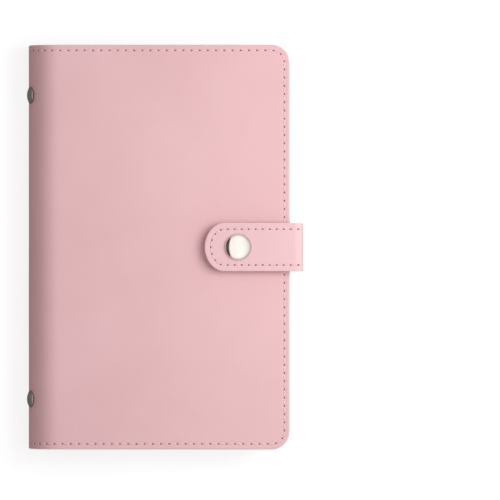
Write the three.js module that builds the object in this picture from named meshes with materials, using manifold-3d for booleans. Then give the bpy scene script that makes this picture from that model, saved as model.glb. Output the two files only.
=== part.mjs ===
// A cash envelope wallet, closed and lying on its back cover: a stitched cover folded round a spine,
// a booklet of clear pockets riveted inside the spine, and a closing strap with a snap fastener.
// Millimetres. X runs from the spine to the fore edge, Y along the spine, Z up through the thickness.
// The origin is the middle of the whole wallet's footprint, on the surface that it lies on.

import * as THREE from "three";
import { mergeVertices } from "three/addons/utils/BufferGeometryUtils.js";
import Module from "manifold-3d";

// Cover
const COVER_HEIGHT = 190;
const COVER_WIDTH = 123;
const COVER_THICKNESS = 22;
const CORNER_RADIUS = 8.5;
const LEATHER = 1.2;
const LINING = 0.7;
const GLUE_LINE = 0.1;
const BACK_FOLD_RADIUS = 6;
const FRONT_FOLD_REACH = 14;

// Closing strap: two layers sewn together, folded round the fore edge
const STRAP_WIDTH = 22.6;
const STRAP_LAYER = 0.9;
const STRAP_OVERLAP = 40;
const STRAP_OVERHANG = 6.3;
const STRAP_TIP_LENGTH = 9.3;
const STRAP_TOP_FOLD = 4;
const STRAP_ROOT_FOLD = 3.4;
const STRAP_ROOT_CLEARANCE = 0.3;
const STRAP_ROOT_ARC = 0.97 * Math.PI;
const TONGUE_THICKNESS = 0.5;
const TONGUE_LENGTH = 18;
const TONGUE_SHOWING = 0.4;
const TONGUE_CLEARANCE = 0.2;

// Snap fastener
const SNAP_INSET = 24.2;
const SNAP_CAP_RADIUS = 6.3;
const SNAP_CAP_HEIGHT = 2.6;
const SNAP_RIM = 0.5;
const SNAP_SHANK_RADIUS = 1.75;
const SNAP_HOLE_RADIUS = 2;
const SNAP_CLINCH_RADIUS = 2.3;
const SNAP_CLINCH = 0.2;
const SOCKET_RADIUS = 5.2;
const SOCKET_PLATE = 0.4;
const SOCKET_BORE = 2.85;
const SOCKET_LIP_BORE = 2.52;
const SOCKET_LIP = 0.15;
const SOCKET_ABOVE_FLANGE = 0.15;
const SPRING_WIRE_RADIUS = 0.18;
const SPRING_OPENING = 0.9;
const STUD_RADIUS = 5;
const STUD_FLANGE = 0.6;
const STUD_NECK_RADIUS = 2;
const STUD_NECK = 0.8;
const STUD_HEAD_RADIUS = 2.45;
const STUD_HEAD = 0.65;
const STUD_TO_CLINCH = 0.2;
const POST_RADIUS = 4.8;
const POST_FLANGE = 0.6;
const POST_SHANK_RADIUS = 1.5;

// Spine rivets
const RIVET_FROM_END = 23.5;
const RIVET_HEIGHT = 11.5;
const RIVET_CAP_RADIUS = 4;
const RIVET_DOME = 1.6;
const RIVET_SEAT_DEPTH = 0.5;
const RIVET_SHANK_RADIUS = 1.4;
const RIVET_HOLE_RADIUS = 1.6;
const RIVET_BASE_RADIUS = 3.5;
const RIVET_BASE = 0.8;
const RIVET_BASE_STANDOFF = 0.45;

// Booklet of clear pockets
const POCKETS = 8;
const POCKET_FROM_END = 7;
const POCKET_SETBACK = 12;
const POCKET_FILM = 0.2;
const POCKET_GAP = 0.2;
const POCKET_WELD = 3;
const POCKET_ROOT_WELD = 6;
const POCKET_CORNER = 3;
const POCKET_HEADROOM = 1.4;
const BINDING_STRIP = 0.8;
const BINDING_FROM_END = 10;
const BINDING_START = -0.8 * Math.PI;
const BINDING_END = 0.6 * Math.PI;

// Clearances between pieces that touch on the real wallet
const SEAT = 0.05;
const PAGE_CLEARANCE = 0.15;
const NOTCH_CLEARANCE = 0.7;

const CURVE_STEPS = 12;
const ROUND_STEPS = 28;
const DOME_STEPS = 6;
const SPRING_STEPS = 24;
const SPRING_WIRE_STEPS = 2;
const CUT_MARGIN = 1;

const foreEdge = COVER_WIDTH;
const coverWall = LEATHER + GLUE_LINE + LINING;
const coverTop = COVER_THICKNESS;
const frontFoldRise = COVER_THICKNESS - BACK_FOLD_RADIUS;

const wasm = await Module();
wasm.setup();

// A closed geometry as a solid for joining and cutting.
function solid(geometry) {
  const bare = geometry.clone();
  bare.deleteAttribute("normal");
  bare.deleteAttribute("uv");
  const merged = mergeVertices(bare, 1e-4);
  return new wasm.Manifold(
    new wasm.Mesh({
      numProp: 3,
      vertProperties: new Float32Array(merged.attributes.position.array),
      triVerts: new Uint32Array(merged.index.array),
    }),
  );
}

function geometryOf(manifold) {
  const mesh = manifold.getMesh();
  const geometry = new THREE.BufferGeometry();
  geometry.setAttribute("position", new THREE.BufferAttribute(new Float32Array(mesh.vertProperties), 3));
  geometry.setIndex(new THREE.BufferAttribute(new Uint32Array(mesh.triVerts), 1));
  geometry.computeVertexNormals();
  return geometry;
}

// A shape drawn in X and Z, extruded along Y and centred on it.
function extrudeAlongY(shape, length) {
  const settings = { depth: length, bevelEnabled: false, curveSegments: CURVE_STEPS };
  const geometry = new THREE.ExtrudeGeometry(shape, settings);
  geometry.rotateX(Math.PI / 2);
  geometry.translate(0, length / 2, 0);
  return geometry;
}

// A shape drawn in X and Y, extruded from low to high along Z.
function extrudeAlongZ(shape, low, high) {
  const settings = { depth: high - low, bevelEnabled: false, curveSegments: CURVE_STEPS };
  const geometry = new THREE.ExtrudeGeometry(shape, settings);
  geometry.translate(0, 0, low);
  return geometry;
}

// A profile of [radius, height] points turned about Z.
function turned(profile) {
  const points = profile.map(([radius, height]) => new THREE.Vector2(radius, height));
  const geometry = new THREE.LatheGeometry(points, ROUND_STEPS);
  geometry.rotateX(Math.PI / 2);
  return geometry;
}

function block(x0, x1, y0, y1, z0, z1) {
  const geometry = new THREE.BoxGeometry(x1 - x0, y1 - y0, z1 - z0);
  geometry.translate((x0 + x1) / 2, (y0 + y1) / 2, (z0 + z1) / 2);
  return geometry;
}

// A plain round cutter along Z.
function cutter(radius, z0, z1) {
  const geometry = new THREE.CylinderGeometry(radius, radius, z1 - z0, ROUND_STEPS);
  geometry.rotateX(Math.PI / 2);
  geometry.translate(0, 0, (z0 + z1) / 2);
  return geometry;
}

function material(color, roughness, metalness = 0, opacity = 1) {
  return new THREE.MeshStandardMaterial({
    color,
    roughness,
    metalness,
    opacity,
    transparent: opacity < 1,
  });
}

const leatherMaterial = material(0xe9bfc3, 0.55);
const liningMaterial = material(0xe3b4b9, 0.7);
const steelMaterial = material(0xd9d5cc, 0.25, 1);
const darkSteelMaterial = material(0x8b857a, 0.3, 1);
const filmMaterial = material(0xe8ecec, 0.15, 0, 0.45);
const stripMaterial = material(0xeeeeec, 0.4);

const wallet = new THREE.Group();

function add(name, geometry, finish, place) {
  const mesh = new THREE.Mesh(geometry, finish);
  mesh.name = name;
  if (place) {
    mesh.applyMatrix4(place);
  }
  wallet.add(mesh);
  return mesh;
}

// The wallet's section is one curve: back cover, back fold, bulging spine and front cover.
// Everything in the cover lies at some depth inside that curve.
function foldedSheet(outer, inner) {
  const r = BACK_FOLD_RADIUS;
  const a = FRONT_FOLD_REACH;
  const b = frontFoldRise;
  const shape = new THREE.Shape();
  shape.moveTo(foreEdge, outer);
  shape.lineTo(r, outer);
  shape.absarc(r, r, r - outer, -Math.PI / 2, -Math.PI, true);
  shape.absellipse(a, r, a - outer, b - outer, Math.PI, Math.PI / 2, true, 0);
  shape.lineTo(foreEdge, coverTop - outer);
  shape.lineTo(foreEdge, coverTop - inner);
  shape.lineTo(a, coverTop - inner);
  shape.absellipse(a, r, a - inner, b - inner, Math.PI / 2, Math.PI, false, 0);
  shape.absarc(r, r, r - inner, Math.PI, 1.5 * Math.PI, false);
  shape.lineTo(foreEdge, inner);
  return shape;
}

// X of that curve at a height, for a piece lying at a depth inside it.
function curveX(depth, z) {
  const r = BACK_FOLD_RADIUS;
  if (z < r) {
    return r - Math.sqrt((r - depth) ** 2 - (r - z) ** 2);
  }
  const share = (z - r) / (frontFoldRise - depth);
  return FRONT_FOLD_REACH - (FRONT_FOLD_REACH - depth) * Math.sqrt(1 - share ** 2);
}

// The cover's plan: square at the spine, rounded at the fore edge.
function coverPlan() {
  const half = COVER_HEIGHT / 2;
  const r = CORNER_RADIUS;
  const shape = new THREE.Shape();
  shape.moveTo(-CUT_MARGIN, -half);
  shape.lineTo(foreEdge - r, -half);
  shape.absarc(foreEdge - r, -half + r, r, -Math.PI / 2, 0, false);
  shape.lineTo(foreEdge, half - r);
  shape.absarc(foreEdge - r, half - r, r, 0, Math.PI / 2, false);
  shape.lineTo(-CUT_MARGIN, half);
  return shape;
}

function coverSheet(outer, inner) {
  const folded = solid(extrudeAlongY(foldedSheet(outer, inner), COVER_HEIGHT));
  const plan = solid(extrudeAlongZ(coverPlan(), -CUT_MARGIN, coverTop + CUT_MARGIN));
  return folded.intersect(plan);
}

// Rivet places: Z of the rivet's own frame points out of the spine, square to its surface.
const rivetShare = (RIVET_HEIGHT - BACK_FOLD_RADIUS) / frontFoldRise;
const rivetX = curveX(0, RIVET_HEIGHT);
const rivetNormal = new THREE.Vector3(
  -Math.sqrt(1 - rivetShare ** 2) / FRONT_FOLD_REACH,
  0,
  rivetShare / frontFoldRise,
).normalize();

function rivetPlace(y) {
  const turn = new THREE.Quaternion().setFromUnitVectors(new THREE.Vector3(0, 0, 1), rivetNormal);
  return new THREE.Matrix4().compose(
    new THREE.Vector3(rivetX, y, RIVET_HEIGHT),
    turn,
    new THREE.Vector3(1, 1, 1),
  );
}

const rivets = [
  ["top", COVER_HEIGHT / 2 - RIVET_FROM_END],
  ["bottom", RIVET_FROM_END - COVER_HEIGHT / 2],
];
const bindingOuter = coverWall + GLUE_LINE;
const bindingInner = bindingOuter + BINDING_STRIP;
const rivetReach = bindingInner + RIVET_BASE_STANDOFF + RIVET_BASE;

function rivetHole(y) {
  return solid(cutter(RIVET_HOLE_RADIUS, -rivetReach - CUT_MARGIN, CUT_MARGIN).applyMatrix4(rivetPlace(y)));
}

// Snap places
const snapX = foreEdge - SNAP_INSET;
const studBase = coverTop + SEAT;
const studNeckFoot = studBase + STUD_FLANGE;
const studHeadFoot = studNeckFoot + STUD_NECK;
const studTop = studHeadFoot + STUD_HEAD;
const clinchFoot = studTop + STUD_TO_CLINCH;
const clinchTop = clinchFoot + SNAP_CLINCH;
const socketPlateFoot = clinchTop + SEAT;
const socketTop = socketPlateFoot + SOCKET_PLATE;
const socketFoot = studNeckFoot + SOCKET_ABOVE_FLANGE;
const strapUnderside = socketTop + SEAT;

function snapHole(radius, z0, z1) {
  return solid(cutter(radius, z0, z1).translate(snapX, 0, 0));
}

// Strap section: a centre line from the hinge at the back cover's edge to the tip on the front cover.
const strapHalf = STRAP_LAYER + GLUE_LINE / 2;
const hingeX = foreEdge + TONGUE_SHOWING + STRAP_ROOT_CLEARANCE + strapHalf;
const hingeZ = strapHalf + SEAT;
const strapSideX = foreEdge + STRAP_OVERHANG - strapHalf;
const strapLineZ = strapUnderside + strapHalf;
const strapTipX = foreEdge - STRAP_OVERLAP;

// One layer of the strap, between two distances outward from its centre line.
function strapLayer(near, far) {
  const low = Math.min(Math.abs(near), Math.abs(far));
  const high = Math.max(Math.abs(near), Math.abs(far));
  const outside = far > 0;
  const side = outside ? 1 : -1;
  const rootStart = -side * STRAP_ROOT_ARC;
  const rootEnd = (-side * Math.PI) / 2;
  const rootR = STRAP_ROOT_FOLD;
  const topR = STRAP_TOP_FOLD - strapHalf;
  const a = side * high;
  const b = side * low;
  const tip = strapTipX - CUT_MARGIN;
  const rootCentreX = strapSideX - rootR;
  const topCentreX = strapSideX - topR;
  const shape = new THREE.Shape();
  shape.absarc(hingeX, hingeZ, high, rootStart, rootEnd, !outside);
  shape.absarc(rootCentreX, hingeZ + rootR, rootR + a, -Math.PI / 2, 0, false);
  shape.absarc(topCentreX, strapLineZ - topR, topR + a, 0, Math.PI / 2, false);
  shape.lineTo(tip, strapLineZ + a);
  shape.lineTo(tip, strapLineZ + b);
  shape.absarc(topCentreX, strapLineZ - topR, topR + b, Math.PI / 2, 0, true);
  shape.absarc(rootCentreX, hingeZ + rootR, rootR + b, 0, -Math.PI / 2, true);
  shape.absarc(hingeX, hingeZ, low, rootEnd, rootStart, outside);
  return shape;
}

// The strap's plan: straight sides and a rounded tip.
function strapPlan() {
  const half = STRAP_WIDTH / 2;
  const end = foreEdge + STRAP_OVERHANG + CUT_MARGIN;
  const shape = new THREE.Shape();
  shape.moveTo(end, half);
  shape.lineTo(strapTipX + STRAP_TIP_LENGTH, half);
  shape.absellipse(
    strapTipX + STRAP_TIP_LENGTH,
    0,
    STRAP_TIP_LENGTH,
    half,
    Math.PI / 2,
    1.5 * Math.PI,
    false,
    0,
  );
  shape.lineTo(end, -half);
  return shape;
}

function strapSheet(near, far) {
  const top = strapLineZ + strapHalf + CUT_MARGIN;
  const folded = solid(extrudeAlongY(strapLayer(near, far), STRAP_WIDTH + CUT_MARGIN));
  const plan = solid(extrudeAlongZ(strapPlan(), -CUT_MARGIN, top));
  const hole = snapHole(SNAP_HOLE_RADIUS, strapUnderside - CUT_MARGIN, top);
  return folded.intersect(plan).subtract(hole);
}

function makeCover() {
  const frontHole = snapHole(SNAP_HOLE_RADIUS, coverTop - coverWall - CUT_MARGIN, coverTop + CUT_MARGIN);
  const recess = solid(
    block(
      foreEdge - TONGUE_LENGTH - TONGUE_CLEARANCE,
      foreEdge + CUT_MARGIN,
      -STRAP_WIDTH / 2 - TONGUE_CLEARANCE,
      STRAP_WIDTH / 2 + TONGUE_CLEARANCE,
      LEATHER - TONGUE_THICKNESS,
      LEATHER + CUT_MARGIN,
    ),
  );
  let outer = coverSheet(0, LEATHER).subtract(frontHole).subtract(recess);
  let lining = coverSheet(LEATHER + GLUE_LINE, coverWall).subtract(frontHole);
  for (const [, y] of rivets) {
    const seat = cutter(RIVET_CAP_RADIUS + TONGUE_CLEARANCE, -RIVET_SEAT_DEPTH, CUT_MARGIN);
    outer = outer.subtract(solid(seat.applyMatrix4(rivetPlace(y)))).subtract(rivetHole(y));
    lining = lining.subtract(rivetHole(y));
  }
  add("cover_outer", geometryOf(outer), leatherMaterial);
  add("cover_lining", geometryOf(lining), liningMaterial);
}

function makeStrap() {
  add("strap_outer", geometryOf(strapSheet(GLUE_LINE / 2, strapHalf)), leatherMaterial);
  add("strap_backing", geometryOf(strapSheet(-strapHalf, -GLUE_LINE / 2)), liningMaterial);
  const tongue = block(
    foreEdge - TONGUE_LENGTH,
    foreEdge + TONGUE_SHOWING,
    -STRAP_WIDTH / 2,
    STRAP_WIDTH / 2,
    LEATHER + SEAT - TONGUE_THICKNESS,
    LEATHER + SEAT,
  );
  add("strap_tongue", tongue, leatherMaterial);
}

// Points of a dome from its rim to its crown, as [radius, height].
function dome(radius, foot, rise) {
  const points = [];
  for (let i = 0; i <= DOME_STEPS; i += 1) {
    const angle = (i / DOME_STEPS) * (Math.PI / 2);
    points.push([i === DOME_STEPS ? 0 : radius * Math.cos(angle), foot + rise * Math.sin(angle)]);
  }
  return points;
}

function makeSnap() {
  const at = new THREE.Matrix4().makeTranslation(snapX, 0, 0);
  const capSeat = strapLineZ + strapHalf + SEAT;

  add(
    "snap_cap",
    turned([
      [0, clinchFoot],
      [SNAP_CLINCH_RADIUS, clinchFoot],
      [SNAP_CLINCH_RADIUS, clinchTop],
      [SNAP_SHANK_RADIUS, clinchTop],
      [SNAP_SHANK_RADIUS, capSeat],
      [SNAP_CAP_RADIUS, capSeat],
      ...dome(SNAP_CAP_RADIUS, capSeat + SNAP_RIM, SNAP_CAP_HEIGHT - SNAP_RIM),
    ]),
    steelMaterial,
    at,
  );

  add(
    "snap_socket",
    turned([
      [SOCKET_LIP_BORE, socketFoot],
      [SOCKET_RADIUS, socketFoot],
      [SOCKET_RADIUS, socketTop],
      [SNAP_HOLE_RADIUS, socketTop],
      [SNAP_HOLE_RADIUS, socketPlateFoot],
      [SOCKET_BORE, socketPlateFoot],
      [SOCKET_BORE, socketFoot + SOCKET_LIP],
      [SOCKET_LIP_BORE, socketFoot + SOCKET_LIP],
      [SOCKET_LIP_BORE, socketFoot],
    ]),
    darkSteelMaterial,
    at,
  );

  const springRadius = SOCKET_BORE - SPRING_WIRE_RADIUS - SEAT;
  const springZ = socketFoot + SOCKET_LIP + SEAT + SPRING_WIRE_RADIUS;
  const wire = new THREE.Shape();
  wire.absarc(0, 0, SPRING_WIRE_RADIUS, 0, 2 * Math.PI, false);
  class OpenRing extends THREE.Curve {
    getPoint(t, target = new THREE.Vector3()) {
      const angle = SPRING_OPENING / 2 + t * (2 * Math.PI - SPRING_OPENING);
      return target.set(springRadius * Math.cos(angle), springRadius * Math.sin(angle), springZ);
    }
  }
  const springSettings = {
    extrudePath: new OpenRing(),
    steps: SPRING_STEPS,
    curveSegments: SPRING_WIRE_STEPS,
    bevelEnabled: false,
  };
  add("snap_spring", new THREE.ExtrudeGeometry(wire, springSettings), darkSteelMaterial, at);

  const boreRadius = POST_SHANK_RADIUS + SEAT;
  const boreTop = studHeadFoot + SEAT;
  add(
    "snap_stud",
    turned([
      [boreRadius, studBase],
      [STUD_RADIUS, studBase],
      [STUD_RADIUS, studNeckFoot],
      [STUD_NECK_RADIUS, studNeckFoot],
      [STUD_NECK_RADIUS, studHeadFoot],
      [STUD_HEAD_RADIUS, studHeadFoot + STUD_HEAD / 3],
      [STUD_HEAD_RADIUS, studHeadFoot + (2 * STUD_HEAD) / 3],
      [STUD_NECK_RADIUS, studTop],
      [0, studTop],
      [0, boreTop],
      [boreRadius, boreTop],
      [boreRadius, studBase],
    ]),
    steelMaterial,
    at,
  );

  const postTop = coverTop - coverWall - SEAT;
  add(
    "snap_post",
    turned([
      [0, postTop - POST_FLANGE],
      [POST_RADIUS, postTop - POST_FLANGE],
      [POST_RADIUS, postTop],
      [POST_SHANK_RADIUS, postTop],
      [POST_SHANK_RADIUS, studHeadFoot],
      [0, studHeadFoot],
    ]),
    steelMaterial,
    at,
  );
}

function makeRivets() {
  const seat = -RIVET_SEAT_DEPTH + SEAT;
  const baseTop = -bindingInner - RIVET_BASE_STANDOFF;
  for (const [name, y] of rivets) {
    add(
      `spine_rivet_cap_${name}`,
      turned([
        [0, -rivetReach],
        [RIVET_SHANK_RADIUS, -rivetReach],
        [RIVET_SHANK_RADIUS, seat],
        ...dome(RIVET_CAP_RADIUS, seat, RIVET_DOME),
      ]),
      darkSteelMaterial,
      rivetPlace(y),
    );
    add(
      `spine_rivet_base_${name}`,
      turned([
        [RIVET_HOLE_RADIUS, baseTop - RIVET_BASE],
        [RIVET_BASE_RADIUS, baseTop - RIVET_BASE],
        [RIVET_BASE_RADIUS, baseTop],
        [RIVET_HOLE_RADIUS, baseTop],
        [RIVET_HOLE_RADIUS, baseTop - RIVET_BASE],
      ]),
      steelMaterial,
      rivetPlace(y),
    );
  }
}

// The strip that the pockets are welded to lies along the inside of the spine.
function makeBinding() {
  const r = BACK_FOLD_RADIUS;
  const a = FRONT_FOLD_REACH;
  const b = frontFoldRise;
  const shape = new THREE.Shape();
  shape.absarc(r, r, r - bindingOuter, BINDING_START, -Math.PI, true);
  shape.absellipse(a, r, a - bindingOuter, b - bindingOuter, Math.PI, BINDING_END, true, 0);
  shape.absellipse(a, r, a - bindingInner, b - bindingInner, BINDING_END, Math.PI, false, 0);
  shape.absarc(r, r, r - bindingInner, -Math.PI, BINDING_START, false);
  let strip = solid(extrudeAlongY(shape, COVER_HEIGHT - 2 * BINDING_FROM_END));
  for (const [, y] of rivets) {
    strip = strip.subtract(rivetHole(y));
  }
  add("binding_strip", geometryOf(strip), stripMaterial);
}

// One clear pocket: two films welded on three sides, open at the fore edge, notched round the rivets.
function pocket(z) {
  const half = COVER_HEIGHT / 2 - POCKET_FROM_END;
  const halfThick = POCKET_FILM + POCKET_GAP / 2;
  const root = Math.max(curveX(bindingInner, z - halfThick), curveX(bindingInner, z + halfThick));
  const start = root + PAGE_CLEARANCE;
  const end = foreEdge - POCKET_SETBACK;
  const r = POCKET_CORNER;
  const shape = new THREE.Shape();
  shape.moveTo(start, -half);
  shape.lineTo(end - r, -half);
  shape.absarc(end - r, -half + r, r, -Math.PI / 2, 0, false);
  shape.absarc(end - r, half - r, r, 0, Math.PI / 2, false);
  shape.lineTo(start, half);
  const inside = block(
    start + POCKET_ROOT_WELD,
    end + CUT_MARGIN,
    -half + POCKET_WELD,
    half - POCKET_WELD,
    z - POCKET_GAP / 2,
    z + POCKET_GAP / 2,
  );
  let sleeve = solid(extrudeAlongZ(shape, z - halfThick, z + halfThick)).subtract(solid(inside));
  const notchHalf = RIVET_BASE_RADIUS + NOTCH_CLEARANCE;
  const notchEnd = rivetX + rivetReach + NOTCH_CLEARANCE;
  for (const [, y] of rivets) {
    const notch = block(-CUT_MARGIN, notchEnd, y - notchHalf, y + notchHalf, 0, coverTop);
    sleeve = sleeve.subtract(solid(notch));
  }
  return geometryOf(sleeve);
}

function makePockets() {
  const halfThick = POCKET_FILM + POCKET_GAP / 2;
  const lowest = coverWall + POCKET_HEADROOM + halfThick;
  const highest = coverTop - coverWall - POCKET_HEADROOM - halfThick;
  const pitch = (highest - lowest) / (POCKETS - 1);
  for (let i = 0; i < POCKETS; i += 1) {
    add(`pocket_${i + 1}`, pocket(lowest + i * pitch), filmMaterial);
  }
}

makeCover();
makeStrap();
makeSnap();
makeRivets();
makeBinding();
makePockets();

// The origin goes to the middle of the footprint.
const reach = new THREE.Box3().setFromObject(wallet, true);
wallet.position.set(-(reach.min.x + reach.max.x) / 2, 0, 0);

const part = new THREE.Group();
part.add(wallet);

export default part;
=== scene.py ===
import math

import bmesh
import bpy
from mathutils import Matrix, Vector, noise


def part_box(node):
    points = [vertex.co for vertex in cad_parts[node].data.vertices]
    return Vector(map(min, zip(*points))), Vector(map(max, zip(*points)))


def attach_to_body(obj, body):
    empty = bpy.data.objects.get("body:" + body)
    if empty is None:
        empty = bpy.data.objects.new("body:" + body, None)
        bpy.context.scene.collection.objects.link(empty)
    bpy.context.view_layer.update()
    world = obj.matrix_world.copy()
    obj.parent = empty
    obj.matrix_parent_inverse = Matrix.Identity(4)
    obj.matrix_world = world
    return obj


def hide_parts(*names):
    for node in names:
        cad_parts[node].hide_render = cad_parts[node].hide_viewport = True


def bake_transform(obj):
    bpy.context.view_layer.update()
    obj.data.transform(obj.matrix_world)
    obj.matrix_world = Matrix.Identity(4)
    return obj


# A closed cash envelope wallet, lying on its back cover and seen from above.
# Sizes are in millimetres, measured from the spine's outermost line, and become metres in to_frame().

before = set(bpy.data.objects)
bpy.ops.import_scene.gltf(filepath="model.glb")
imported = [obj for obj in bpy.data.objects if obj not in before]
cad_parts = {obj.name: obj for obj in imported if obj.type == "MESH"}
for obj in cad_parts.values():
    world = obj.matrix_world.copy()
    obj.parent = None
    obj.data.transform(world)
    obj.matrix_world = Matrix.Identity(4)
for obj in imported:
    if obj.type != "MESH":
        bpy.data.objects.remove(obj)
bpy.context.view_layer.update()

MM = 0.001
SPINE_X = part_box("cover_outer")[0].x

# Cover
COVER_WIDTH = 123.0
COVER_HALF = 95.0
COVER_TOP = 22.0
CORNER = 8.5
BACK_FOLD = 6.0
FRONT_FOLD = 14.0
LEATHER = 1.2
GLUE_LINE = 0.1
LINING = 0.7
LEATHER_WAVE = 0.05
EDGE_STEPS = 6

# Strap
STRAP_HALF_WIDTH = 11.3
STRAP_TIP_X = 83.0
STRAP_TIP_LENGTH = 9.3
STRAP_LINE_Z = 25.95
STRAP_SIDE_X = 128.35
STRAP_TOP_BEND = 3.05
STRAP_ROOT_BEND = 3.4
STRAP_END_X = 123.5
STRAP_LAYER = 0.9
STRAP_SEAM = 0.05
STRAP_FACE = -STRAP_SEAM - STRAP_LAYER
HINGE_Z = 1.0

# Stitching
COVER_PITCH = 3.86
STRAP_PITCH = 3.3
COVER_INSET = 2.6
STRAP_INSET = 2.9
STRAP_STITCH_END = 2.5
GROOVE = 0.14
GROOVE_WIDTH = 0.75
STITCH_STEPS = 8
THREAD_SIDES = 8
THREAD_RADIUS = 0.31
THREAD_FLATNESS = 0.75
THREAD_SHARE = 0.74
THREAD_DIP = 0.16
THREAD_RISE = 0.26

# Needle holes, drawn as pads of painted shade: half sizes, and each ring's share of them with its height
# over the groove
HOLE_SIDES = 10
HOLE_LENGTH = 0.47
HOLE_WIDTH = 0.38
HOLE_RINGS = ((0.0, 0.05), (1.0, 0.03), (1.0, -0.12), (0.0, -0.12))

# Metal: the gap under a seated piece, and the fine bevel on its edges
SEAT = 0.05
BEVEL = 0.08

# Snap
SNAP_X = COVER_WIDTH - 24.2
SNAP_HOLE = 2.0
CAP_RADIUS = 6.3
CAP_RIM = 0.4
CAP_DOME = 2.2
SHANK_RADIUS = 1.75
SHANK_END_Z = 23.9
CLINCH_RADIUS = 2.3
CLINCH = 0.2
SOCKET_RADIUS = 5.2
SOCKET_FOOT_Z = 22.8
SOCKET_PLATE = 0.45
SOCKET_BORE = 2.85
SOCKET_LIP_BORE = 2.52
STUD_RADIUS = 5.0
STUD_NECK = 2.0
STUD_HEAD = 2.45
STUD_BORE = 1.55
STUD_HEIGHT = 2.05
STUD_WALL = 0.6
POST_RADIUS = 4.8
POST_SHANK = 1.5
FLANGE = 0.6

# Rivets
RIVET_Y = 71.5
RIVET_Z = 11.5
RIVET_RADIUS = 4.0
RIVET_SHANK = 1.4
RIVET_HOLE = 1.6
RIVET_SINK = 0.45
RIVET_DOME_RADIUS = 3.15
RIVET_DOME = 0.75
RIVET_BASE_RADIUS = 3.5
RIVET_BASE = 0.8
RIVET_END = -4.15
RIVET_DENT = 0.55
RIVET_DENT_RADIUS = 4.6

# Pockets
POCKETS = 8
FILM = 0.2
WELDED_GAP = 0.03
POCKET_CORNER = 3.0
NOTCH_X = 7.6
NOTCH_HALF = 4.2
MILKY_BAND = 30.0
RIPPLE = 0.55
FINE_RIPPLE = 0.16
RIPPLE_START = 25.0
MOUTH = 25.0
MOUTH_PARTING = 0.22
SIDE_PARTING = 0.1
SIDE_BAND = 6.0

# Floor, in metres, and camera: the photograph's scale and two of its lines in pixels
FLOOR_HALF = 4.0
FLOOR_Z = -0.0002
PHOTO_PIXELS = 500
MM_A_PIXEL = 0.4695
FORE_EDGE_PIXEL = 289.9
COVER_MIDDLE_PIXEL = 247.1
LENS = 600.0
SENSOR = 36.0


def to_frame(x, y, z):
    """A point of the wallet in millimetres, as a point of the shared frame in metres."""
    return Vector((SPINE_X + x * MM, y * MM, z * MM))


def srgb(r, g, b):
    """A colour written 0 to 255, as Blender's linear values."""
    def linear(v):
        v /= 255
        return v / 12.92 if v <= 0.04045 else ((v + 0.055) / 1.055) ** 2.4
    return (linear(r), linear(g), linear(b), 1)


def scaled(colour, share):
    """A colour made darker or paler, no brighter than white."""
    return tuple(min(1.0, c * share) for c in colour[:3]) + (1,)


# Materials

class Graph:
    """A small helper for building a node tree."""

    def __init__(self, tree):
        self.tree = tree

    def new(self, kind, values=None, links=None, **settings):
        node = self.tree.nodes.new(kind)
        for key, value in settings.items():
            setattr(node, key, value)
        for key, value in (values or {}).items():
            node.inputs[key].default_value = value
        for key, source in (links or {}).items():
            self.tree.links.new(source, node.inputs[key])
        return node

    def spread(self, source, low, high, start=0.3, end=0.7, kind="LINEAR"):
        """Maps a source from start..end to low..high."""
        values = {"From Min": start, "From Max": end, "To Min": low, "To Max": high}
        node = self.new("ShaderNodeMapRange", values, {"Value": source}, interpolation_type=kind)
        return node.outputs["Result"]

    def soft_spread(self, source, low, high, start, end):
        """The same with soft ends."""
        return self.spread(source, low, high, start, end, "SMOOTHSTEP")

    def join(self, operation, a, b):
        return self.new("ShaderNodeMath", links={0: a, 1: b}, operation=operation).outputs[0]


class Nodes(Graph):
    """A procedural material's node tree."""

    def __init__(self, name):
        self.material = bpy.data.materials.new(name)
        self.material.use_nodes = True
        super().__init__(self.material.node_tree)
        self.shader = self.tree.nodes["Principled BSDF"]
        self.place = self.new("ShaderNodeTexCoord").outputs["Object"]

    def noise(self, scale, detail, roughness=0.5):
        values = {"Scale": scale, "Detail": detail, "Roughness": roughness}
        return self.new("ShaderNodeTexNoise", values, {"Vector": self.place}).outputs["Fac"]

    def cells(self, scale):
        values = {"Scale": scale}
        links = {"Vector": self.place}
        node = self.new("ShaderNodeTexVoronoi", values, links, feature="SMOOTH_F1")
        return node.outputs["Distance"]

    def mix(self, factor, a, b):
        node = self.new("ShaderNodeMix", data_type="RGBA")
        self.tree.links.new(factor, node.inputs[0])
        for index, value in ((6, a), (7, b)):
            if isinstance(value, tuple):
                node.inputs[index].default_value = value
            else:
                self.tree.links.new(value, node.inputs[index])
        return node.outputs[2]

    def bump(self, height, strength, distance, under=None):
        links = {"Height": height}
        if under:
            links["Normal"] = under
        values = {"Strength": strength, "Distance": distance}
        return self.new("ShaderNodeBump", values, links).outputs["Normal"]

    def attribute(self, name):
        return self.new("ShaderNodeAttribute", attribute_name=name).outputs["Fac"]

    def link(self, source, socket):
        self.tree.links.new(source, self.shader.inputs[socket])

    def set(self, socket, value):
        self.shader.inputs[socket].default_value = value


def leather(name, colour, deep, grain=1.0, rough=(0.46, 0.6)):
    """Smooth imitation leather: fine pebbled grain, soft cloudy colour and a slightly paler worn edge."""
    m = Nodes(name)
    fine = m.noise(1500, detail=3, roughness=0.6)
    body = m.mix(m.spread(m.noise(28, detail=4), 0.0, 1.0), deep, colour)
    speckled = m.mix(m.spread(fine, 0.0, 0.35), body, deep)
    worn = m.spread(m.attribute("rim"), 1.0, 0.0, 0.0, 0.7)
    m.link(m.mix(worn, speckled, scaled(colour, 1.16)), "Base Color")
    m.link(m.spread(m.noise(300, detail=3), *rough), "Roughness")
    m.set("Specular IOR Level", 0.25)
    soft = m.bump(m.noise(90, detail=3), 0.12 * grain, 0.0006)
    pebbles = m.bump(m.cells(1250), 0.22 * grain, 0.00012, soft)
    m.link(m.bump(fine, 0.3 * grain, 0.00006, pebbles), "Normal")
    return m.material


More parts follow.
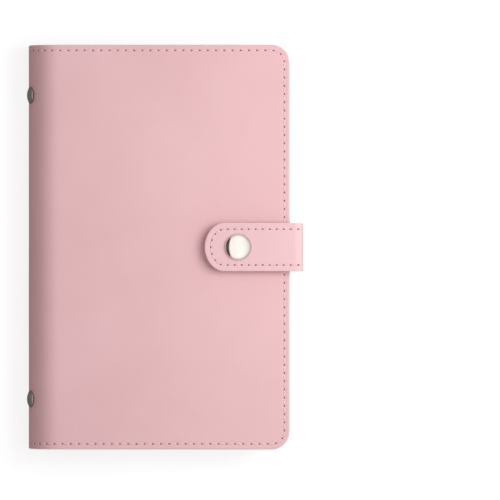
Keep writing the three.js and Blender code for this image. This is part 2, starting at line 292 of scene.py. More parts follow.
def thread(name, colour, deep):
    """Twisted sewing thread: slanting strands with a soft sheen."""
    m = Nodes(name)
    values = {"Scale": 620.0, "Distortion": 1.2, "Detail": 1.0}
    strands = m.new("ShaderNodeTexWave", values, {"Vector": m.place}, bands_direction="DIAGONAL")
    wave = strands.outputs["Fac"]
    m.link(m.mix(m.spread(wave, 0.0, 1.0, 0.15, 0.85), deep, colour), "Base Color")
    m.link(m.spread(m.noise(2500, detail=2), 0.55, 0.75), "Roughness")
    m.set("Sheen Weight", 0.25)
    m.link(m.bump(wave, 0.5, 0.00008), "Normal")
    return m.material


def needle_hole_shade(name, colour):
    """Painted shade in place of the shadowed, rough inside of a needle hole."""
    m = Nodes(name)
    m.link(m.mix(m.noise(2500, detail=2), colour, scaled(colour, 0.6)), "Base Color")
    m.link(m.spread(m.noise(1800, detail=2), 0.75, 0.95), "Roughness")
    m.link(m.bump(m.noise(3000, detail=2), 0.3, 0.00005), "Normal")
    return m.material


def plated(name, colour, deep, rough):
    """Plated steel: a polish with faint hairlines and slightly cloudy tone."""
    m = Nodes(name)
    hair = m.noise(4200, detail=2, roughness=0.7)
    m.link(m.mix(m.spread(m.noise(220, detail=3), 0.0, 1.0), deep, colour), "Base Color")
    m.set("Metallic", 1.0)
    m.link(m.spread(hair, rough * 0.8, rough * 1.4), "Roughness")
    m.link(m.bump(hair, 0.05, 0.00002), "Normal")
    return m.material


def film(name, colour, deep):
    """Clear soft film with long shallow ripples, milky along its welded and cut edges."""
    m = Nodes(name)
    m.link(m.mix(m.spread(m.noise(60, detail=3), 0.0, 1.0), colour, deep), "Base Color")
    m.link(m.spread(m.attribute("rim"), 0.5, 1.0, 0.0, 0.85), "Alpha")
    m.link(m.spread(m.noise(120, detail=3), 0.08, 0.2), "Roughness")
    m.set("Sheen Weight", 0.8)
    m.set("Sheen Roughness", 0.4)
    m.link(m.bump(m.noise(45, detail=2), 0.35, 0.0012), "Normal")
    return m.material


pink = leather("pink_leather", srgb(237, 196, 199), srgb(232, 189, 192))
pink_strap = leather("pink_strap_leather", srgb(238, 200, 204), srgb(234, 194, 198))
lining = leather("pink_lining", srgb(224, 178, 183), srgb(214, 166, 172), 1.8, (0.62, 0.78))
# The thread is paler than the leather: partly its own pink and partly a painted highlight on the raised
# stitches.
thread_with_highlight = thread("pink_thread", srgb(249, 213, 216), srgb(238, 194, 199))
# Dark pads of painted shade at the needle holes, where a real hole is dark only from its shadow.
hole_painted_shade = needle_hole_shade("needle_hole_shade", srgb(160, 102, 110))
bright_nickel = plated("bright_nickel", (0.90, 0.87, 0.81, 1), (0.85, 0.81, 0.75, 1), 0.1)
dark_nickel = plated("dark_nickel", (0.42, 0.39, 0.35, 1), (0.34, 0.31, 0.28, 1), 0.2)
clear_film = film("clear_film", (0.97, 0.98, 0.98, 1), (0.90, 0.93, 0.93, 1))


# Mesh makers

def make_object(name, points, faces, material, smooth=True, rim=None):
    """A mesh object; rim gives each point a value from 0 to 1, which its material uses near edges."""
    mesh = bpy.data.meshes.new(name)
    mesh.from_pydata(points, [], faces)
    mesh.validate()
    shaped = bmesh.new()
    shaped.from_mesh(mesh)
    bmesh.ops.recalc_face_normals(shaped, faces=shaped.faces)
    shaped.to_mesh(mesh)
    shaped.free()
    if rim:
        layer = mesh.attributes.new("rim", "FLOAT", "POINT")
        layer.data.foreach_set("value", rim)
    mesh.polygons.foreach_set("use_smooth", [smooth] * len(mesh.polygons))
    mesh.materials.append(material)
    piece = bpy.data.objects.new(name, mesh)
    bpy.context.scene.collection.objects.link(piece)
    return piece


def attach(piece, body, slot, *nodes):
    """Lets a piece move with a body; pieces on the strap's fold are only baked in place and not attached
    to a body.
    """
    if body == "strap_fold":
        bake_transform(piece)
    else:
        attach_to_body(piece, body)
    if nodes:
        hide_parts(*nodes)


class Path:
    """A line in X and Z with its outward normals, looked up by distance along it."""

    def __init__(self, points, side=1):
        self.points = points
        self.length = [0.0]
        for (ax, az), (bx, bz) in zip(points, points[1:]):
            self.length.append(self.length[-1] + math.hypot(bx - ax, bz - az))
        self.normals = []
        last = len(points) - 1
        for i in range(len(points)):
            ax, az = points[max(i - 1, 0)]
            bx, bz = points[min(i + 1, last)]
            size = math.hypot(bx - ax, bz - az)
            self.normals.append((side * (bz - az) / size, -side * (bx - ax) / size))
        self.total = self.length[-1]

    def at(self, s):
        """Point and normal at a distance; past either end the line goes on straight."""
        low, high = 0, len(self.points) - 1
        while high - low > 1:
            middle = (low + high) // 2
            if self.length[middle] <= s:
                low = middle
            else:
                high = middle
        share = (s - self.length[low]) / (self.length[high] - self.length[low])
        (ax, az), (bx, bz) = self.points[low], self.points[high]
        (nax, naz), (nbx, nbz) = self.normals[low], self.normals[high]
        held = min(1.0, max(0.0, share))
        nx, nz = nax + (nbx - nax) * held, naz + (nbz - naz) * held
        size = math.hypot(nx, nz)
        return ax + (bx - ax) * share, az + (bz - az) * share, nx / size, nz / size

    def place(self, s, y, depth):
        """The frame point at a distance along the line, at y and a depth inside it."""
        x, z, nx, nz = self.at(s)
        return to_frame(x - nx * depth, y, z - nz * depth)


def arc(cx, cz, rx, rz, start, end, steps):
    """Points of an elliptic arc between two angles in degrees."""
    points = []
    for i in range(steps + 1):
        angle = math.radians(start + (end - start) * i / steps)
        points.append((cx + rx * math.cos(angle), cz + rz * math.sin(angle)))
    return points


def graded(low, high, edge_step, middle_step, edge_width):
    """Places from low to high, close together near both ends."""
    places = [low]
    while places[-1] < high - 1e-6:
        near = min(places[-1] - low, high - places[-1])
        step = edge_step if near < edge_width else middle_step
        places.append(min(high, places[-1] + step))
    if high - places[-2] < edge_step * 0.3:
        places.pop(-2)
    return places


def graded_shares(half, edge_step, middle_step, edge_width):
    """Graded places across a width, as shares of its half."""
    return [v / half for v in graded(-half, half, edge_step, middle_step, edge_width)]


def grid_border(columns, rows):
    """The indices of a grid's outer points, once round; columns and rows are their counts."""
    border = [i * rows for i in range(columns)]
    border += [(columns - 1) * rows + j for j in range(1, rows)]
    border += [i * rows + rows - 1 for i in range(columns - 2, -1, -1)]
    return border + list(range(rows - 2, 0, -1))


def edge_ring(path, border, out, depth):
    """The border's points moved outwards by a distance, at a depth inside the path."""
    ring = []
    following = border[1:] + border[:1]
    for e, (s, y) in enumerate(border):
        sa, ya = border[e - 1]
        sb, yb = following[e]
        size = math.hypot(sb - sa, yb - ya)
        ring.append(path.place(s + (yb - ya) / size * out, y - (sb - sa) / size * out, depth))
    return ring


def sheet_piece(name, path, near, far, outline, columns, rows, groove, material):
    """A folded sheet with rounded edges between two depths inside a path.

    outline(s) is the half width at a distance along the path, at the inset that the round edge takes.
    groove(s, y) is how far the sewn face is drawn in; columns are distances and rows shares of the width.
    """
    radius = (far - near) / 2
    count = len(rows)
    flat = [(s, outline(s) * v) for s in columns for v in rows]
    edge = grid_border(len(columns), count)
    border = [flat[e] for e in edge]
    points = [path.place(s, y, near + groove(s, y)) for s, y in flat]
    points += [path.place(s, y, far) for s, y in flat]
    rim = [1.0] * len(points)
    rings = [edge]
    for k in range(1, EDGE_STEPS):
        angle = math.pi * k / EDGE_STEPS
        depth = near + radius * (1 - math.cos(angle))
        rings.append(range(len(points), len(points) + len(edge)))
        points += edge_ring(path, border, radius * math.sin(angle), depth)
        rim += [0.0] * len(edge)
    rings.append([e + len(flat) for e in edge])
    faces = []
    for i in range(len(columns) - 1):
        for j in range(count - 1):
            a = i * count + j
            b = a + len(flat)
            faces.append((a, a + 1, a + count + 1, a + count))
            faces.append((b, b + count, b + count + 1, b + 1))
    for inner, outer in zip(rings, rings[1:]):
        for e in range(len(edge)):
            f = (e + 1) % len(edge)
            faces.append((inner[e], inner[f], outer[f], outer[e]))
    return make_object(name, points, faces, material, rim=rim)


def lathe(name, profile, place, material, segments=64):
    """A closed profile of [radius, height] turned about Z, then put in place, with fine bevels."""
    points = []
    rows = []
    for radius, height in profile:
        if radius < 1e-6:
            rows.append([len(points)] * segments)
            points.append(place @ Vector((0, 0, height)))
        else:
            rows.append([len(points) + k for k in range(segments)])
            for k in range(segments):
                angle = 2 * math.pi * k / segments
                turned = Vector((radius * math.cos(angle), radius * math.sin(angle), height))
                points.append(place @ turned)
    faces = []
    pairs = list(zip(rows, rows[1:]))
    if profile[0][0] > 1e-6:
        pairs.append((rows[-1], rows[0]))
    for a, b in pairs:
        for k in range(segments):
            n = (k + 1) % segments
            corner = []
            for index in (a[k], a[n], b[n], b[k]):
                if index not in corner:
                    corner.append(index)
            if len(corner) > 2:
                faces.append(tuple(corner))
    piece = make_object(name, [to_frame(*p) for p in points], faces, material)
    bevel = piece.modifiers.new("edges", "BEVEL")
    bevel.width = BEVEL * MM
    bevel.segments = 2
    bevel.limit_method = "ANGLE"
    bevel.angle_limit = math.radians(40)
    return piece


# Cover

def cover_path():
    """The cover's outer face: from the front's fore edge round the spine to the back's."""
    points = [(COVER_WIDTH - i, COVER_TOP) for i in range(int(COVER_WIDTH - FRONT_FOLD))]
    points += arc(FRONT_FOLD, BACK_FOLD, FRONT_FOLD, COVER_TOP - BACK_FOLD, 90, 180, 60)
    points += arc(BACK_FOLD, BACK_FOLD, BACK_FOLD, BACK_FOLD, 180, 270, 30)[1:]
    points += [(BACK_FOLD + i, 0.0) for i in range(1, int(COVER_WIDTH - BACK_FOLD) + 1)]
    return Path(points)


cover_line = cover_path()
COVER_RUN = cover_line.total


def rounded_half(s, inset):
    """Half height of the cover's plan at a distance along it, drawn in by an inset."""
    r = CORNER - inset
    d = min(s, COVER_RUN - s) - inset
    half = COVER_HALF - inset
    if d < r:
        return half - r + math.sqrt(max(0.0, r * r - (r - d) ** 2))
    return half


def edge_distance(s, y):
    """How far a point of the cover's plan lies inside its outline."""
    d = min(s, COVER_RUN - s)
    e = COVER_HALF - abs(y)
    if d < CORNER and e < CORNER:
        return CORNER - math.hypot(CORNER - d, CORNER - e)
    return min(d, e)


def valley(distance, inset):
    """Depth of the sewn groove across its width."""
    return GROOVE * math.exp(-(((distance - inset) / GROOVE_WIDTH) ** 2))


def rivet_dent(s, y):
    """The leather is drawn in round each rivet."""
    x, z, _, _ = cover_line.at(s)
    if x > FRONT_FOLD:
        return 0.0
    d = math.hypot(z - RIVET_Z, abs(y) - RIVET_Y)
    return RIVET_DENT * math.exp(-((d / RIVET_DENT_RADIUS) ** 4))


def cover_groove(s, y):
    wave = LEATHER_WAVE * noise.noise(Vector((s * 0.03, y * 0.03, 1.7)))
    return valley(edge_distance(s, y), COVER_INSET) + rivet_dent(s, y) + wave


def no_groove(s, y):
    return 0.0


def cover_sheet(name, near, thickness, edge_step, middle_step, groove, material):
    """One sheet of the cover, at a depth inside its outer face."""
    r = thickness / 2
    columns = graded(r, COVER_RUN - r, edge_step, middle_step, 10)
    rows = graded_shares(COVER_HALF - r, edge_step, middle_step, 5)
    return sheet_piece(
        name, cover_line, near, near + thickness, lambda s: rounded_half(s, r),
        columns, rows, groove, material,
    )


def make_cover():
    outer = cover_sheet("cover_leather", 0.0, LEATHER, 0.4, 1.7, cover_groove, pink)
    attach(outer, "wallet", "pink_leather", "cover_outer")
    inner = cover_sheet("cover_inner_sheet", LEATHER + GLUE_LINE, LINING, 0.8, 3.4, no_groove, lining)
    attach(inner, "wallet", "pink_lining", "cover_lining")


# Strap

def strap_path():
    """The seam between the strap's layers: from its tip over the fore edge to its root."""
    top_x = STRAP_SIDE_X - STRAP_TOP_BEND
    top_z = STRAP_LINE_Z - STRAP_TOP_BEND
    root_x = STRAP_SIDE_X - STRAP_ROOT_BEND
    root_z = HINGE_Z + STRAP_ROOT_BEND
    points = [(STRAP_END_X, HINGE_Z)]
    points += arc(root_x, root_z, STRAP_ROOT_BEND, STRAP_ROOT_BEND, -90, 0, 20)
    points += arc(top_x, top_z, STRAP_TOP_BEND, STRAP_TOP_BEND, 0, 90, 20)
    x = top_x
    while x > STRAP_TIP_X + 1:
        x -= 1
        points.append((x, STRAP_LINE_Z))
    points.append((STRAP_TIP_X, STRAP_LINE_Z))
    return Path(points[::-1], -1)


strap_line = strap_path()
STRAP_RUN = strap_line.total


def strap_half(s, inset):
    """Half width of the strap at a distance from its tip, drawn in by an inset."""
    half = STRAP_HALF_WIDTH - inset
    reach = STRAP_TIP_LENGTH - inset
    d = s - inset
    if d < reach:
        return half * math.sqrt(max(0.0025, 1 - (1 - d / reach) ** 2))
    return half


def strap_edge_distance(s, y):
    """How far a point of the strap's plan lies inside its outline."""
    if s >= STRAP_TIP_LENGTH:
        return STRAP_HALF_WIDTH - abs(y)
    u = (STRAP_TIP_LENGTH - s) / STRAP_TIP_LENGTH
    v = y / STRAP_HALF_WIDTH
    reach = math.hypot(u, v)
    wider = (STRAP_HALF_WIDTH - STRAP_TIP_LENGTH) * abs(v) / max(reach, 0.01)
    return (1 - reach) * (STRAP_TIP_LENGTH + wider)


def strap_groove(s, y):
    return valley(strap_edge_distance(s, y), STRAP_INSET)


def strap_columns(r):
    """Distances along the strap, crowded towards the point of its round tip."""
    turns = [math.pi / 2 * (i + 0.6) / 22.6 for i in range(22)]
    tip = [r + (STRAP_TIP_LENGTH - r) * (1 - math.cos(turn)) for turn in turns]
    return tip + graded(STRAP_TIP_LENGTH, STRAP_RUN - r, 0.6, 0.8, 2)


def strap_sheet(name, near, groove, material):
    """One layer of the strap, at a depth inside its seam."""
    r = STRAP_LAYER / 2
    rows = graded_shares(STRAP_HALF_WIDTH - r, 0.3, 0.5, 5)
    return sheet_piece(
        name, strap_line, near, near + STRAP_LAYER, lambda s: strap_half(s, r),
        strap_columns(r), rows, groove, material,
    )


def make_strap():
    outer = strap_sheet("strap_top_layer", STRAP_FACE, strap_groove, pink_strap)
    attach(outer, "strap_fold", "pink_leather", "strap_outer")
    under = strap_sheet("strap_under_layer", STRAP_SEAM, no_groove, lining)
    attach(under, "strap_fold", "pink_lining", "strap_backing")


# Stitching

def stitch_places(line, pitch):
    """Even places along a line of (s, y) points, with the direction there."""
    lengths = [0.0]
    for (sa, ya), (sb, yb) in zip(line, line[1:]):
        lengths.append(lengths[-1] + math.hypot(sb - sa, yb - ya))
    count = round(lengths[-1] / pitch) * STITCH_STEPS
    places = []
    index = 0
    for n in range(count + 1):
        wanted = n * lengths[-1] / count
        while index < len(line) - 2 and lengths[index + 1] < wanted:
            index += 1
        share = (wanted - lengths[index]) / (lengths[index + 1] - lengths[index])
        (sa, ya), (sb, yb) = line[index], line[index + 1]
        size = math.hypot(sb - sa, yb - ya)
        along = ((sb - sa) / size, (yb - ya) / size)
        places.append((sa + (sb - sa) * share, ya + (yb - ya) * share, *along))
    return places


def thread_mesh(path, places, face, groove):
    """Thread stitches that swell up between needle holes and dip into them."""
    points, faces = [], []
    first = round(STITCH_STEPS * (1 - THREAD_SHARE) / 2)
    for start in range(0, len(places) - STITCH_STEPS, STITCH_STEPS):
        base = len(points)
        rings = places[start + first:start + STITCH_STEPS + 1 - first]
        for k, (s, y, ds, dy) in enumerate(rings):
            share = k / (len(rings) - 1)
            swell = math.sin(math.pi * (0.06 + 0.88 * share)) ** 0.5
            depth = face + groove(s, y) + THREAD_DIP - THREAD_RISE * swell
            thick = THREAD_RADIUS * (0.55 + 0.45 * swell)
            for q in range(THREAD_SIDES):
                angle = 2 * math.pi * q / THREAD_SIDES
                across = thick * math.cos(angle)
                up = thick * THREAD_FLATNESS * math.sin(angle)
                points.append(path.place(s - dy * across, y + ds * across, depth - up))
        last = base + (len(rings) - 1) * THREAD_SIDES
        for a in range(base, last, THREAD_SIDES):
            for q in range(THREAD_SIDES):
                n = (q + 1) % THREAD_SIDES
                faces.append((a + q, a + n, a + n + THREAD_SIDES, a + q + THREAD_SIDES))
        faces.append(tuple(range(base, base + THREAD_SIDES)))
        faces.append(tuple(range(last + THREAD_SIDES - 1, last - 1, -1)))
    return points, faces


def hole_mesh(path, places, face, groove):
    """A small closed pad in the groove at each needle hole, which carries the hole's painted shade."""
    points, faces = [], []
    for s, y, ds, dy in places[::STITCH_STEPS]:
        top = len(points)
        upper = top + 1
        lower = upper + HOLE_SIDES
        bottom = lower + HOLE_SIDES
        for size, rise in HOLE_RINGS:
            for q in range(HOLE_SIDES if size else 1):
                angle = 2 * math.pi * q / HOLE_SIDES
                along = HOLE_LENGTH * size * math.cos(angle)
                across = HOLE_WIDTH * size * math.sin(angle)
                hs = s + ds * along - dy * across
                hy = y + dy * along + ds * across
                points.append(path.place(hs, hy, face + groove(hs, hy) - rise))
        for q in range(HOLE_SIDES):
            n = (q + 1) % HOLE_SIDES
            faces.append((top, upper + q, upper + n))
            faces.append((upper + q, lower + q, lower + n, upper + n))
            faces.append((bottom, lower + n, lower + q))
    return points, faces


def stitches(name, path, line, pitch, face, groove, body):
    """Thread and the painted shade of needle holes along a line of (s, y) points on a path's face."""
    places = stitch_places(line, pitch)
    points, faces = thread_mesh(path, places, face, groove)
    attach(make_object(name, points, faces, thread_with_highlight), body, "pink_leather")
    points, faces = hole_mesh(path, places, face, groove)
    attach(make_object(name + "_holes", points, faces, hole_painted_shade), body, "pink_leather")


def cover_stitch_line():
    """Once round the sewn edge of the whole folded cover."""
    r = CORNER - COVER_INSET
    low = COVER_INSET + r
    high = COVER_RUN - low
    half = COVER_HALF - COVER_INSET - r
    line = []
    for cs, cy, start in ((high, half, 90), (high, -half, 0), (low, -half, -90), (low, half, 180)):
        line += arc(cs, cy, r, r, start, start - 90, 12)
    line.append(line[0])
    return line


def strap_stitch_line():
    """Down one side, round the tip and back up the other side."""
    half = STRAP_HALF_WIDTH - STRAP_INSET
    reach = STRAP_TIP_LENGTH - STRAP_INSET
    end = STRAP_RUN - STRAP_STITCH_END
    return [(end, half)] + arc(STRAP_TIP_LENGTH, 0, reach, half, 90, 270, 24) + [(end, -half)]


def make_stitching():
    stitches("cover_stitching", cover_line, cover_stitch_line(), COVER_PITCH, 0.0, cover_groove, "wallet")
    stitches(
        "strap_stitching", strap_line, strap_stitch_line(), STRAP_PITCH, STRAP_FACE, strap_groove,
        "strap_fold",
    )


# Metal

def dome(radius, foot, rise, steps, power):
    """A dome's profile from its foot to its top; a power under 1 makes its shoulder fuller."""
    points = []
    for i in range(steps):
        angle = i / steps * math.pi / 2
        points.append((radius * math.cos(angle) ** power, foot + rise * math.sin(angle)))
    points.append((0.0, foot + rise))
    return points


def snap_cap_profile():
    """The domed cap over the strap and its shank down to the clinched end."""
    foot = STRAP_LINE_Z - STRAP_FACE + SEAT
    clinch = SHANK_END_Z + CLINCH
    profile = [(0, SHANK_END_Z), (CLINCH_RADIUS, SHANK_END_Z), (CLINCH_RADIUS, clinch)]
    profile += [(SHANK_RADIUS, clinch), (SHANK_RADIUS, foot)]
    profile += [(CAP_RADIUS - 0.3, foot), (CAP_RADIUS - 0.06, foot + 0.07)]
    return profile + dome(CAP_RADIUS, foot + CAP_RIM, CAP_DOME, 20, 0.9)


def snap_socket_profile():
    """The socket's ring under the strap, with the lip that the stud passes."""
    head = STRAP_LINE_Z + STRAP_FACE - SEAT
    plate = head - SOCKET_PLATE
    foot = SOCKET_FOOT_Z
    profile = [(SOCKET_LIP_BORE, foot), (SOCKET_RADIUS - 0.2, foot), (SOCKET_RADIUS, foot + 0.2)]
    profile += [(SOCKET_RADIUS, head - 0.4), (SOCKET_RADIUS - 0.5, head)]
    profile += [(SNAP_HOLE, head), (SNAP_HOLE, plate), (SOCKET_BORE, plate)]
    return profile + [(SOCKET_BORE, foot + 0.18), (SOCKET_LIP_BORE, foot + 0.12)]


def snap_stud_profile():
    """The stud on the front cover: a flange, a neck and a rolled hollow head."""
    foot = COVER_TOP + SEAT
    flange = foot + FLANGE
    head = foot + STUD_HEIGHT
    hollow = head - STUD_WALL
    profile = [(STUD_BORE, foot), (STUD_RADIUS, foot), (STUD_RADIUS, flange - 0.2)]
    profile += [(STUD_RADIUS - 0.4, flange), (STUD_NECK + 0.2, flange), (STUD_NECK, flange + 0.15)]
    profile += [(STUD_NECK, head - 0.65), (STUD_HEAD - 0.07, head - 0.5), (STUD_HEAD, head - 0.35)]
    profile += [(STUD_HEAD - 0.05, head - 0.18), (STUD_HEAD - 0.45, head)]
    return profile + [(0, head), (0, hollow), (STUD_BORE, hollow)]


def snap_post_profile():
    """The eyelet inside the front cover, with its shank up into the stud."""
    seat = COVER_TOP - LEATHER - GLUE_LINE - LINING - SEAT
    foot = seat - FLANGE
    top = COVER_TOP + STUD_HEIGHT - STUD_WALL
    profile = [(0, foot), (POST_RADIUS - 0.3, foot), (POST_RADIUS, foot + 0.15), (POST_RADIUS, seat)]
    return profile + [(POST_SHANK, seat), (POST_SHANK, top), (0, top)]


def make_snap():
    at = Matrix.Translation((SNAP_X, 0, 0))
    cap = lathe("snap_cap_dome", snap_cap_profile(), at, bright_nickel, 96)
    attach(cap, "strap", "snap_steel", "snap_cap")
    socket = lathe("snap_socket_ring", snap_socket_profile(), at, bright_nickel)
    attach(socket, "strap", "snap_steel", "snap_socket")
    stud = lathe("snap_stud_ring", snap_stud_profile(), at, bright_nickel)
    attach(stud, "wallet", "snap_steel", "snap_stud")
    post = lathe("snap_post_eyelet", snap_post_profile(), at, bright_nickel)
    attach(post, "wallet", "snap_steel", "snap_post")


def rivet_place(y):
    """On the spine's curve at the rivets' height, facing straight out of it."""
    rise = COVER_TOP - BACK_FOLD
    share = (RIVET_Z - BACK_FOLD) / rise
    run = math.sqrt(1 - share * share)
    outward = Vector((-run / FRONT_FOLD, 0, share / rise))
    turn = outward.to_track_quat("Z", "Y").to_matrix().to_4x4()
    return Matrix.Translation((FRONT_FOLD * (1 - run), y, RIVET_Z)) @ turn


def rivet_cap_profile():
    """The rivet's stepped dome, its flange sunk in the leather, and its shank."""
    under = -RIVET_SINK
    profile = [(0, RIVET_END), (RIVET_SHANK, RIVET_END), (RIVET_SHANK, under)]
    profile += [(RIVET_RADIUS - 0.2, under), (RIVET_RADIUS, under + 0.2), (RIVET_RADIUS, 0.1)]
    profile += [(RIVET_RADIUS - 0.15, 0.25), (RIVET_RADIUS - 0.7, 0.3)]
    return profile + dome(RIVET_DOME_RADIUS, 0.4, RIVET_DOME, 12, 0.85)


def rivet_base_profile():
    """The ring on the shank's end inside the spine."""
    top = RIVET_END + RIVET_BASE
    profile = [(RIVET_HOLE, RIVET_END), (RIVET_BASE_RADIUS - 0.3, RIVET_END)]
    profile += [(RIVET_BASE_RADIUS, RIVET_END + 0.2), (RIVET_BASE_RADIUS, top)]
    return profile + [(RIVET_HOLE, top)]


def make_rivets():
    for name, y in (("top", RIVET_Y), ("bottom", -RIVET_Y)):
        place = rivet_place(y)
        cap = lathe(f"rivet_cap_{name}", rivet_cap_profile(), place, dark_nickel)
        attach(cap, "wallet", "rivet_steel", f"spine_rivet_cap_{name}")
        base = lathe(f"rivet_base_{name}", rivet_base_profile(), place, dark_nickel)
        attach(base, "wallet", "rivet_steel", f"spine_rivet_base_{name}")


# Inside

def film_sheet(points, faces, xs, ys, kept, place_lower, place_upper):
    """Adds a thin closed sheet over the kept cells of a grid, with a function to place each face."""
    base = len(points)
    count = len(ys)
    shift = len(xs) * count
    for place in (place_lower, place_upper):
        for x in xs:
            for y in ys:
                points.append(to_frame(*place(x, y)))

    def at(i, j, upper):
        return base + i * count + j + (shift if upper else 0)

    for i in range(len(xs) - 1):
        for j in range(count - 1):
            if not kept(i, j):
                continue
            ring = [(i, j), (i + 1, j), (i + 1, j + 1), (i, j + 1)]
            faces.append([at(*c, True) for c in ring])
            faces.append([at(*c, False) for c in reversed(ring)])
            sides = zip(ring, ring[1:] + ring[:1], ((0, -1), (1, 0), (0, 1), (-1, 0)))
            for a, b, (di, dj) in sides:
                ni, nj = i + di, j + dj
                inside = 0 <= ni < len(xs) - 1 and 0 <= nj < count - 1 and kept(ni, nj)
                if not inside:
                    faces.append([at(*a, False), at(*b, False), at(*b, True), at(*a, True)])


def pocket_columns(start, end):
    """Places from a pocket's root to its mouth, with one at the rivets' notch."""
    near = NOTCH_X if start < NOTCH_X - 1.6 else start + 3
    xs = [start, start + 1.5, near]
    while xs[-1] < end - 5.1:
        xs.append(min(end - 5, xs[-1] + 4.5))
    return xs + [end - 3, end - 2, end - 1.2, end - 0.6, end - 0.2, end]


def pocket_rows(half):
    """Places across a pocket, closer at its ends and with the edges of the rivets' notches."""
    ys = [k * half / 22 for k in range(-21, 22)]
    for side in (-1, 1):
        ys += [side * (RIVET_Y + d) for d in (-NOTCH_HALF, NOTCH_HALF)]
        ys += [side * (half - d) for d in (0, 0.4, 1.2, 2.4, 3.0)]
    return sorted(set(round(y, 3) for y in ys))


def pocket_ripple(number, x, y, start):
    """Long shallow waves that grow from the pocket's root and differ from pocket to pocket."""
    reach = min(1.0, max(0.0, (x - start) / RIPPLE_START))
    wave = noise.noise(Vector((x * 0.021, y * 0.016, number * 3.1)))
    fine = noise.noise(Vector((x * 0.06, y * 0.012, number * 7.3)))
    return reach * (RIPPLE * wave + FINE_RIPPLE * fine)


def pocket_parting(to_mouth, to_side):
    """How far each film stands off the pocket's middle: least at the sides and most at the mouth."""
    side = min(1.0, max(0.0, (to_side - POCKET_CORNER) / SIDE_BAND))
    mouth = max(0.0, (MOUTH - to_mouth) / MOUTH)
    return side * (SIDE_PARTING + MOUTH_PARTING * mouth * mouth)


def make_pocket(number):
    """Two clear films with welded edges, rippled, open and a little parted at the fore edge."""
    low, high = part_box(f"pocket_{number}")
    z = (low.z + high.z) / 2 / MM
    start, end = (low.x - SPINE_X) / MM, (high.x - SPINE_X) / MM
    half = high.y / MM
    xs = pocket_columns(start, end)
    ys = pocket_rows(half)

    def kept(i, j):
        middle = (ys[j] + ys[j + 1]) / 2
        return xs[i + 1] > NOTCH_X + 0.01 or abs(abs(middle) - RIVET_Y) > NOTCH_HALF

    def face(offset, way):
        """Places one face of a film; way is -1 for the lower film and 1 for the upper."""
        def place(x, y):
            corner = max(0.0, x - (end - POCKET_CORNER))
            shrink = POCKET_CORNER - math.sqrt(max(0.0, POCKET_CORNER ** 2 - corner * corner))
            ny = math.copysign(min(abs(y), half - shrink), y)
            rise = pocket_ripple(number, x, y, start)
            return x, ny, z + rise + way * (offset + pocket_parting(end - x, half - abs(y)))
        return place

    points, faces = [], []
    near, far = WELDED_GAP, WELDED_GAP + FILM
    film_sheet(points, faces, xs, ys, kept, face(far, -1), face(near, -1))
    film_sheet(points, faces, xs, ys, kept, face(near, 1), face(far, 1))
    milky = []
    for p in points:
        inside = min(end - (p.x - SPINE_X) / MM, half - abs(p.y) / MM)
        milky.append(max(0.0, 1 - inside / MILKY_BAND))
    piece = make_object(f"clear_pocket_{number}", points, faces, clear_film, rim=milky)
    attach(piece, "wallet", "clear_film", f"pocket_{number}")


def dress_cad_pieces():
    """The hidden pieces keep their CAD meshes and only get their materials."""
    worn = {"binding_strip": clear_film, "strap_tongue": lining, "snap_spring": bright_nickel}
    for node, material in worn.items():
        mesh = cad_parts[node].data
        mesh.materials.clear()
        mesh.materials.append(material)


# Floor, light and camera

def make_floor():
    """A white floor as the camera sees it, with a faint shadow, and grey in what it reflects."""
    m = Nodes("pale_floor")
    m.set("Roughness", 0.9)
    m.set("Specular IOR Level", 0.0)
    m.set("Base Color", (0.42, 0.42, 0.42, 1))
    seen = m.new("ShaderNodeBsdfDiffuse", {"Color": (0.34, 0.34, 0.34, 1)})
    glow = m.new("ShaderNodeEmission", {"Color": (1, 1, 1, 1), "Strength": 0.78})
    both = m.new("ShaderNodeAddShader", links={0: seen.outputs[0], 1: glow.outputs[0]})
    camera_ray = m.new("ShaderNodeLightPath").outputs["Is Camera Ray"]
    links = {0: camera_ray, 1: m.shader.outputs[0], 2: both.outputs[0]}
    chosen = m.new("ShaderNodeMixShader", links=links)
    m.tree.links.new(chosen.outputs[0], m.tree.nodes["Material Output"].inputs["Surface"])
    far = FLOOR_HALF
    points = [(x, y, FLOOR_Z) for x, y in ((-far, -far), (far, -far), (far, far), (-far, far))]
    floor = make_object("floor", points, [(0, 1, 2, 3)], m.material, False)


def sky_strength(sky, x, z):
    """Even light, weaker from the spine's side; the camera itself sees white.

    Metal sees a bright ceiling, with a dark flag to the left and a grey horizon.
    """
    rays = sky.new("ShaderNodeLightPath").outputs
    even = sky.soft_spread(x, 0.42, 0.6, -1.0, 1.0)
    flag = sky.soft_spread(x, 0.1, 1.12, -0.64, -0.54)
    flag = sky.join("MAXIMUM", flag, sky.soft_spread(x, 0.5, 0.0, -0.97, -0.9))
    ceiling = sky.join("MULTIPLY", flag, sky.soft_spread(z, 0.45, 1.05, 0.0, 0.9))
    ceiling = sky.join("MULTIPLY", ceiling, sky.soft_spread(x, 1.0, 0.78, 0.1, 0.85))
    links = {0: rays["Is Glossy Ray"], 2: even, 3: ceiling}
    seen = sky.new("ShaderNodeMix", links=links, data_type="FLOAT").outputs[0]
    return sky.join("MAXIMUM", seen, rays["Is Camera Ray"])


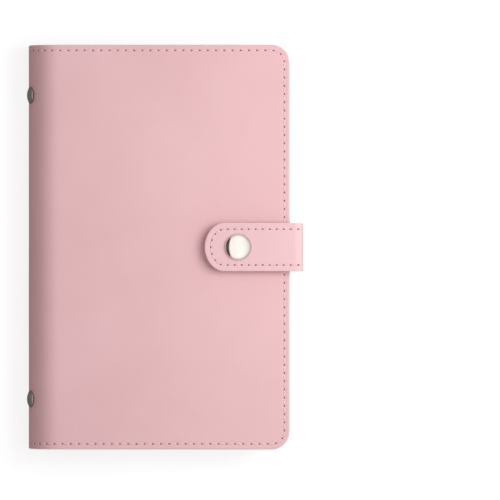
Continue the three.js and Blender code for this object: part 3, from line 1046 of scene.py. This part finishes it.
def sky_colour(sky, x):
    """White, turning rosy towards the spine's side."""
    values = {6: (1.0, 0.84, 0.86, 1), 7: (1.0, 1.0, 1.0, 1)}
    links = {0: sky.soft_spread(x, 0.0, 1.0, -1.0, 0.4)}
    return sky.new("ShaderNodeMix", values, links, data_type="RGBA").outputs[2]


def make_world():
    """The studio's light, which comes from all round."""
    world = bpy.data.worlds.new("studio")
    bpy.context.scene.world = world
    world.use_nodes = True
    sky = Graph(world.node_tree)
    direction = sky.new("ShaderNodeTexCoord").outputs["Generated"]
    split = sky.new("ShaderNodeSeparateXYZ", links={0: direction}).outputs
    background = sky.tree.nodes["Background"]
    sky.tree.links.new(sky_colour(sky, split["X"]), background.inputs["Color"])
    sky.tree.links.new(sky_strength(sky, split["X"], split["Z"]), background.inputs["Strength"])


def make_key_light():
    """One soft disk above the fore edge, hidden from the metal; its place is in metres."""
    lamp = bpy.data.lights.new("key", "AREA")
    lamp.shape = "DISK"
    lamp.size = 0.3
    lamp.energy = 1.05
    place = Vector((0.25, 0.05, 0.33))
    target = Vector((0.02, 0, 0.02))
    holder = bpy.data.objects.new("key", lamp)
    holder.location = place
    holder.rotation_euler = (target - place).to_track_quat("-Z", "Y").to_euler()
    holder.visible_glossy = False
    bpy.context.scene.collection.objects.link(holder)


def make_camera():
    """Straight above, at the photograph's scale on the front cover."""
    data = bpy.data.cameras.new("camera")
    data.lens = LENS
    data.sensor_width = SENSOR
    data.clip_end = 20
    camera = bpy.data.objects.new("camera", data)
    middle = PHOTO_PIXELS / 2
    across = COVER_WIDTH - (FORE_EDGE_PIXEL - middle) * MM_A_PIXEL
    along = (COVER_MIDDLE_PIXEL - middle) * MM_A_PIXEL
    height = PHOTO_PIXELS * MM_A_PIXEL * LENS / SENSOR
    camera.location = to_frame(across, along, COVER_TOP + height)
    bpy.context.scene.collection.objects.link(camera)
    bpy.context.scene.camera = camera


make_cover()
make_strap()
make_stitching()
make_snap()
make_rivets()
for number in range(1, POCKETS + 1):
    make_pocket(number)
dress_cad_pieces()
make_floor()
make_world()
make_key_light()
make_camera()
bpy.context.scene.view_settings.view_transform = "Standard"
